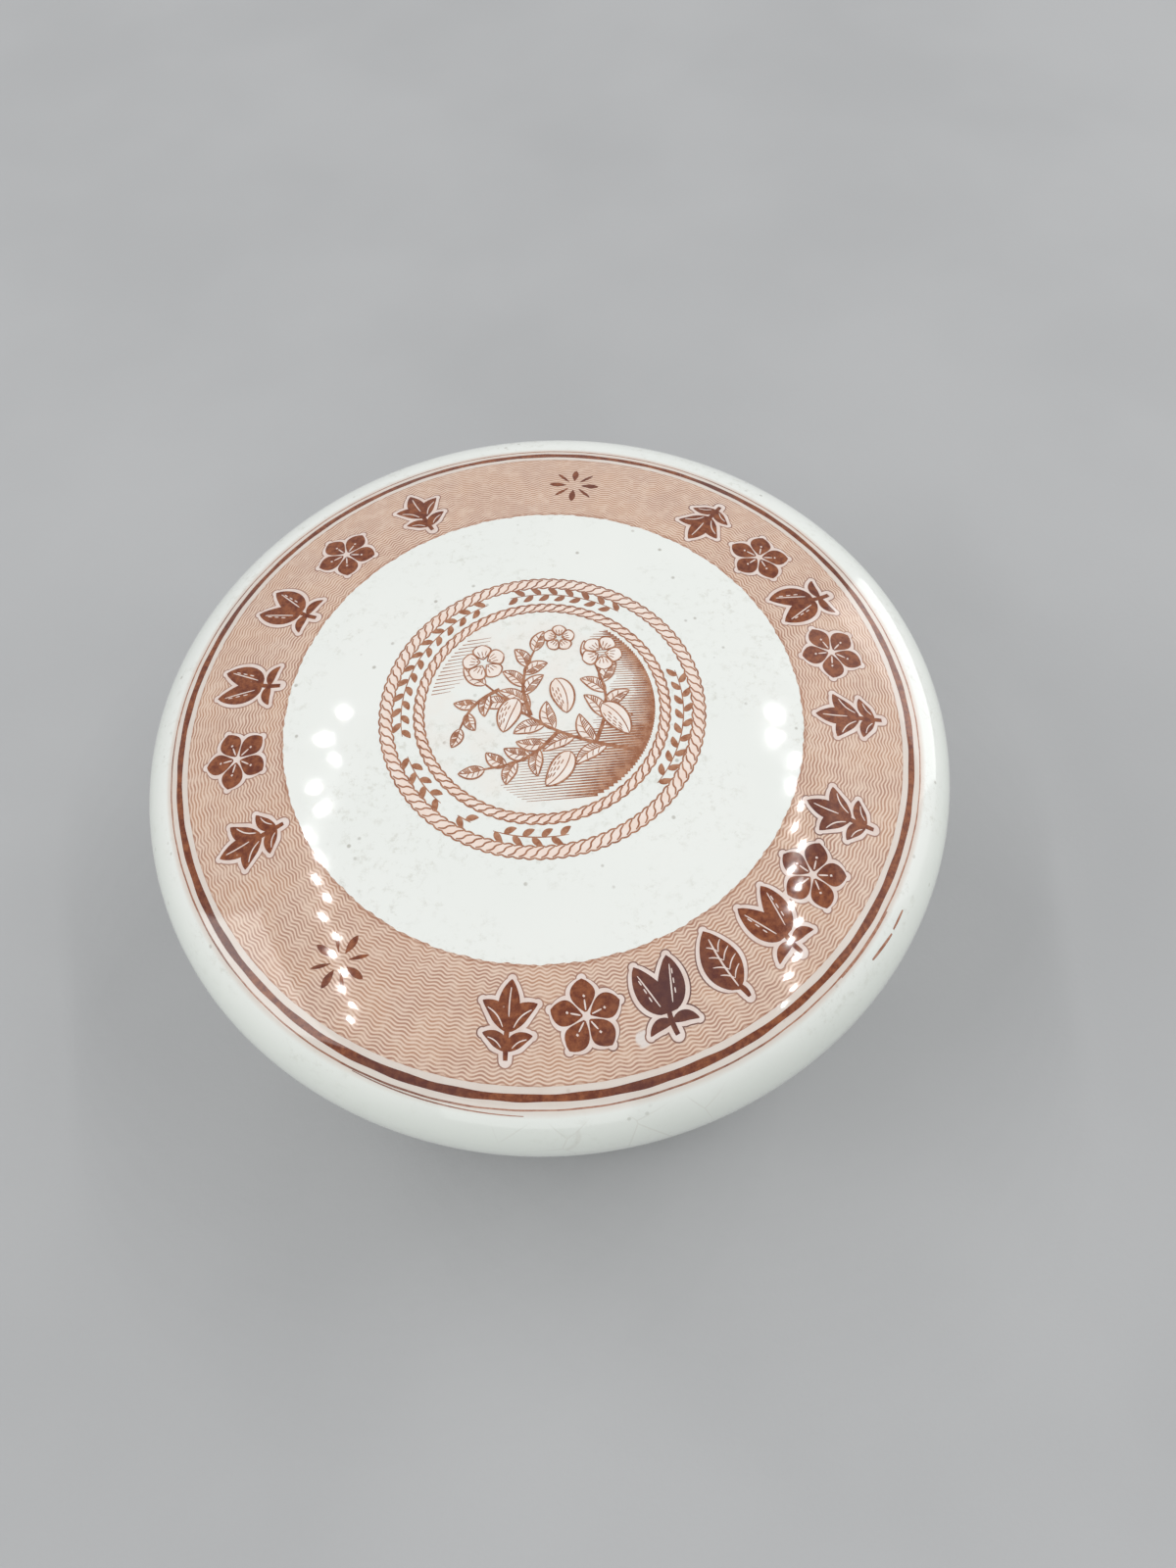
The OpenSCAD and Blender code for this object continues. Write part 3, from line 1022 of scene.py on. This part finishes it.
def seal_drawing():
    """An almond branch across the well, with leaves, almonds and blossoms: each part's level and strokes."""
    return [
        (0, twig((9.6, -6.2), (-5.6, 3.4), 0.10, 1, 7, 3.9, 0.78)),
        (1, twig((5.0, -5.0), (6.0, 4.8), -0.12, -1, 5, 3.6, 0.74)),
        (1, twig((-1.2, -1.0), (-0.2, 7.0), 0.12, 1, 5, 3.3, 0.70)),
        (1, twig((1.4, -3.2), (-6.4, -6.6), 0.12, -1, 5, 3.2, 0.70)),
        (1, twig((-4.2, 2.6), (-8.6, -1.6), -0.12, 1, 3, 2.7, 0.60)),
        (2, almond_drawing((1.7, 3.2), (2.5, -1.1), 0.06, 1.2)),
        (2, almond_drawing((-2.4, 1.2), (-4.2, -2.6), -0.06, 1.15)),
        (2, almond_drawing((6.2, -0.4), (8.6, -4.2), 0.06, 1.2)),
        (2, almond_drawing((2.4, -5.6), (-0.4, -9.2), 0.06, 1.15)),
        (2, blossom_drawing((-5.6, 6.2), 2.3, 20)),
        (2, blossom_drawing((6.9, 6.0), 2.2, 55)),
        (2, blossom_drawing((2.6, 8.4), 1.7, 10)),
    ]


printed("seal_shading", [(ribbons(hatched_ground(), 2), 0.004)], SEAL_FINISH)
SEAL_PAPER = tint_finish("seal_paper", colour(0.84, 0.79, 0.74), colour(0.82, 0.70, 0.62))
for_lines, for_ground = [], []
for level, (strokes, fills) in seal_drawing():
    heavy = [(path, half * WEIGHT) for path, half in strokes]
    for_ground.append((ribbons(fills, 5), 0.012 + LEVEL * level))
    for_lines.append((ribbons(heavy, 2), 0.020 + LEVEL * level))
printed("seal_branch", for_lines, SEAL_FINISH)
printed("seal_branch_ground", for_ground, SEAL_PAPER)

# ---------------------------------------------------------------- pot

FOOT_R = 33.4
FOOT_H = 1.6
FOOT_W = 3.2
HEEL_R = 38.0
HEEL_ROUND = 4.0
HEEL_RISE = 0.6
FLOOR_T = 3.4
TAPER = 1.7
POT_ROUND = 5.0
NECK_BELOW = 2.0
POT_R = pot_high[0]
FLOOR_Z = FOOT_H + FLOOR_T
NECK_Z = SEAT - FLANGE_DEPTH - NECK_BELOW


def pot_outline():
    """The pot in section, from the middle of its floor over the rim to the middle of its underside."""
    return rounded([
        [0, FLOOR_Z, 0],
        [MOUTH_R - TAPER, FLOOR_Z, POT_ROUND],
        [MOUTH_R, NECK_Z, 0.05],
        [MOUTH_R, SEAT, SOFT],
        [POT_R, SEAT, SOFT],
        [HEEL_R, FOOT_H + HEEL_RISE, HEEL_ROUND],
        [FOOT_R, FOOT_H, 0.4],
        [FOOT_R, 0, 0.4],
        [FOOT_R - FOOT_W, 0, 0.2],
        [FOOT_R - FOOT_W - FOOT_H / 2, FOOT_H, 0.4],
        [0, FOOT_H, 0],
    ], 0.9)


def thrown(points):
    """Slow waver of the pot's outer wall, none at the rim or the foot."""
    x, y, z, r, turn = round_axis(points)
    part = smooth(z, 2.0, 9.0) * smooth(z, SEAT - 1, SEAT - 8) * smooth(r, MOUTH_R, MOUTH_R + 1.2)
    waver = 0.06 * np.sin(2 * turn + 0.4) + 0.04 * np.sin(3 * turn + 2 + 0.06 * z) + 0.02 * np.sin(0.9 * z)
    grow = 1 + waver * part / np.maximum(r, 1)
    return np.stack([x * grow, y * grow, z], -1)


def pot_finish():
    """Pot: white body, glaze pooled green at the heel, faint throwing lines, a bare biscuit foot ring."""
    finish = Finish("pot_glaze")
    base = white_body(finish)
    pooled = finish.z.between(9.0, 3.0) * (0.5 + finish.noise(5.0, 2.0, 0.5, 0.2) * 0.5)
    base = finish.mix(pooled * 0.8, base, BODY_COOL)
    base = finish.mix(crazed(finish, 3.4, 0.022, 25.0, 0.7) * 0.13, base, colour(0.45, 0.38, 0.30))
    bare = (finish.z + finish.noise(2.0, 2.0, 0.5, 0.4) * 0.5).between(0.75, 0.55)
    bare = bare * finish.radius().between(29.5, 30.0)
    base = finish.mix(bare, base, biscuit(finish, colour(0.70, 0.62, 0.50), colour(0.52, 0.43, 0.32)))
    rings = (finish.z * 1.9 + finish.noise(8.0, 1.0, 0.5) * 2.0).sine() * 0.5 + 0.5
    normal = flowed(finish, finish.bump(rings, 0.006))
    normal = finish.bump(finish.noise(0.25, 3.0, 0.7) * bare, 0.04, normal)
    return finish.shade(base, uneven_gloss(finish, 0.06, 0.05, bare), normal, IOR=GLAZE_IOR)


points, faces = turned(pot_outline(), 256, thrown)
pot = make_piece("pot_shell", points, faces, pot_finish(), "pot")
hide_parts("pot")

# ---------------------------------------------------------------- cream and its paper disc

CREAM_GAP = 0.05
DISC_R = disc_high[0]


def inside_r(z):
    """Radius of the cream's side at a height: it follows the pot's tapered inner wall."""
    return MOUTH_R - TAPER * (NECK_Z - z) / (NECK_Z - FLOOR_Z) - CREAM_GAP


def cream_outline():
    """The cream in section: level top, side against the pot's wall, rounded foot, flat underside."""
    top, low = cream_high[2], cream_low[2]
    return rounded([
        [0, top, 0],
        [inside_r(top), top, 0.3],
        [inside_r(low), low, POT_ROUND],
        [0, low, 0],
    ], 0.45)


def smoothed_with_a_knife(points):
    """Shapes the cream's top: a spiral left by the knife under the paper, and a soft ridge at the wall."""
    x, y, z, r, turn = round_axis(points)
    level = smooth(z, cream_high[2] - 0.6, cream_high[2] - 0.05)
    spiral = np.sin(r * 1.15 - 2 * turn + 0.6 * np.sin(3 * turn)) * 0.5 - 0.5
    fine = 0.35 * (np.sin(r * 5.1 - 2 * turn + 1.3 * np.sin(2 * turn + 1)) - 1)
    dip = (0.55 * spiral + 0.12 * fine) * smooth(r, 0.0, 3.0) * smooth(r, DISC_R + 0.5, DISC_R - 4)
    ridge = 0.30 * smooth(r, DISC_R + 0.4, inside_r(cream_high[2]) - 1.2)
    ridge = ridge * (0.75 + 0.25 * np.sin(5 * turn + 1) * np.sin(2 * turn))
    return np.stack([x, y, z + (dip + ridge) * level], -1)


def cream_finish():
    """Shaving cream: ivory, faintly streaked, satin, with tiny pits and a little light going through it."""
    finish = Finish("cream")
    streak = finish.noise(3.0, 4.0, 0.6, 0.2).between(0.3, 0.7)
    base = finish.mix(streak, colour(0.90, 0.87, 0.80), colour(0.86, 0.81, 0.71))
    normal = finish.bump(finish.noise(0.6, 3.0, 0.6), 0.02)
    pits = finish.cells(1.6).between(0.16, 0.05) * finish.noise(4.0, 1.0).between(0.5, 0.6)
    normal = finish.bump(pits, -0.05, normal)
    gloss = 0.32 + finish.noise(2.0, 2.0, 0.5, 0.6) * 0.18
    glow = {"Subsurface_Weight": 0.25, "Subsurface_Radius": (1.0, 0.8, 0.5), "Subsurface_Scale": 0.002}
    return finish.shade(base, gloss, normal, **glow)


points, faces = turned(cream_outline(), 256, smoothed_with_a_knife)
cream = make_piece("cream_fill", points, faces, cream_finish(), "pot")
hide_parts("cream")

PAPER_T = 0.14  # thickness of the paper, laid in the middle of the CAD disc's space


def paper_outline():
    """The paper in section: a flat disc with a square edge."""
    middle = (disc_low[2] + disc_high[2]) / 2
    high, low = middle + PAPER_T / 2, middle - PAPER_T / 2
    return filled(np.array([[0, high], [DISC_R - 0.05, high], [DISC_R - 0.05, low], [0, low]]), 0.6)


def laid_paper(points):
    """Waves of a paper disc that was cut by hand and lies on soft cream: it never leaves its own space."""
    x, y, z, r, turn = round_axis(points)
    cut = 0.16 * np.sin(3 * turn + 1) + 0.1 * np.sin(8 * turn) + 0.05 * np.sin(23 * turn + 2) - 0.3
    grow = 1 + cut * smooth(r, DISC_R * 0.5, DISC_R) / np.maximum(r, 1)
    wave = 0.55 * np.sin(0.31 * x + 0.12 * y + 0.7) * np.sin(0.27 * y - 0.05 * x + 0.4)
    wave = wave + 0.35 * np.sin(7 * turn + 0.25 * r) * smooth(r, 12, DISC_R)
    return np.stack([x * grow, y * grow, z + 0.11 * wave], -1)


def paper_finish():
    """Waxed paper: amber, fibrous, darker where the grease has soaked in, with fine creases."""
    finish = Finish("waxed_paper")
    fibre = finish.noise(0.35, 5.0, 0.75, 0.3).between(0.3, 0.7)
    base = finish.mix(fibre, colour(0.80, 0.73, 0.58), colour(0.70, 0.61, 0.44))
    grease = finish.noise(9.0, 4.0, 0.6, 0.8).between(0.48, 0.60)
    base = finish.mix(grease * 0.45, base, colour(0.62, 0.50, 0.30))
    crease = finish.cells(13.0, "DISTANCE_TO_EDGE").between(0.022, 0.0) * finish.noise(12.0, 1.0, 0.5, 2.0)
    base = finish.mix(crease * 0.5, base, colour(0.88, 0.83, 0.72))
    normal = finish.bump(crease, 0.06)
    normal = finish.bump(finish.noise(0.5, 4.0, 0.7, 0.1), 0.012, normal)
    gloss = 0.42 - grease * 0.16 + fibre * 0.08
    return finish.shade(base, gloss, normal, IOR=1.45)


points, faces = turned(paper_outline(), 240, laid_paper)
paper = make_piece("paper_disc", points, faces, paper_finish(), "parchment_disc")
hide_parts("parchment_disc")

# ---------------------------------------------------------------- floor and light


FLOOR_REACH = 1500.0    # how far the tabletop reaches each way


def make_floor():
    """Pale matt tabletop: a level sheet with a slow grain in its finish."""
    rows = 9
    line = np.linspace(-FLOOR_REACH, FLOOR_REACH, rows)
    x, y = np.meshgrid(line, line, indexing="ij")
    points = np.stack([x, y, np.full_like(x, pot_low[2])], -1).reshape(-1, 3)
    mesh = bpy.data.meshes.new("tabletop")
    mesh.from_pydata((points * MM).tolist(), [], cells_of(rows, rows).tolist())
    finish = Finish("tabletop")
    cloud = finish.noise(60.0, 3.0, 0.5).between(0.3, 0.7)
    base = finish.mix(cloud, colour(0.43, 0.435, 0.44), colour(0.40, 0.405, 0.41))
    normal = finish.bump(finish.noise(0.7, 3.0, 0.6), 0.02)
    mesh.materials.append(finish.shade(base, 0.6, normal))
    floor = bpy.data.objects.new("tabletop", mesh)
    bpy.context.collection.objects.link(floor)
    floor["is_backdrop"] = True


def make_lamp(name, place, size, power, aim=(0.0, 0.0, 0.04), shape="SQUARE"):
    """White area lamp at a place in metres, turned towards aim."""
    data = bpy.data.lights.new(name, "AREA")
    data.shape = shape
    data.size = size
    data.energy = power
    lamp = bpy.data.objects.new(name, data)
    lamp.location = place
    lamp.rotation_euler = (Vector(aim) - Vector(place)).to_track_quat("-Z", "Y").to_euler()
    bpy.context.collection.objects.link(lamp)


# Broad lamps: place in metres, its height taken from the lid's top, then size in metres and power in watts.
BROAD_LAMPS = (
    ("soft_right", (1.85, 1.05, 0.48), 1.35, 11.0),
    ("broad_right", (2.0, 0.6, 1.0), 2.4, 10.0),
    ("soft_left", (-1.25, -0.25, 0.85), 0.8, 5.0),
    ("soft_front", (-0.3, -1.7, 0.45), 1.2, 4.5),
)
ROW_HEIGHT = 1.0    # height of the two rows of small lamps over the lid, in metres
ROW_FRONT = {"left": -0.28, "right": -0.42}     # where each row begins
ROW_PITCH = 0.066   # from one lamp of a row to the next
ROW_LAMPS = 16
ROW_OUT = 0.60      # how far out each row is, how much it slants inwards and how far it staggers
ROW_SLANT = 0.16
ROW_STAGGER = 0.016
ROW_SIZE = 0.018    # size and power of a lamp of a row
ROW_POWER = 0.18
ROOM_LIGHT = 0.56


def make_lamps():
    """Broad soft lamps at the sides and in front, and two staggered rows of small bright ones overhead."""
    top = lid_high[2] * MM
    for name, (x, y, z), size, power in BROAD_LAMPS:
        make_lamp(name, (x, y, top + z), size, power)
    for row, front in ROW_FRONT.items():
        side = -1 if row == "left" else 1
        for k in range(ROW_LAMPS):
            y = front + ROW_PITCH * k
            x = side * (ROW_OUT - ROW_SLANT * y) + (ROW_STAGGER if k % 2 else -ROW_STAGGER)
            place = (x * ROW_HEIGHT, y * ROW_HEIGHT, top + ROW_HEIGHT)
            name = f"row_lamp_{row}_{k:02d}"
            make_lamp(name, place, ROW_SIZE, ROW_POWER, (place[0], place[1], 0.0), "DISK")
    world = bpy.data.worlds.new("room")
    world.use_nodes = True
    room = world.node_tree.nodes["Background"]
    room.inputs["Color"].default_value = colour(0.98, 0.99, 1.0)
    room.inputs["Strength"].default_value = ROOM_LIGHT
    bpy.context.scene.world = world
    bpy.context.scene.view_settings.view_transform = "Standard"


make_floor()
make_lamps()

# ---------------------------------------------------------------- size

low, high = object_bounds()
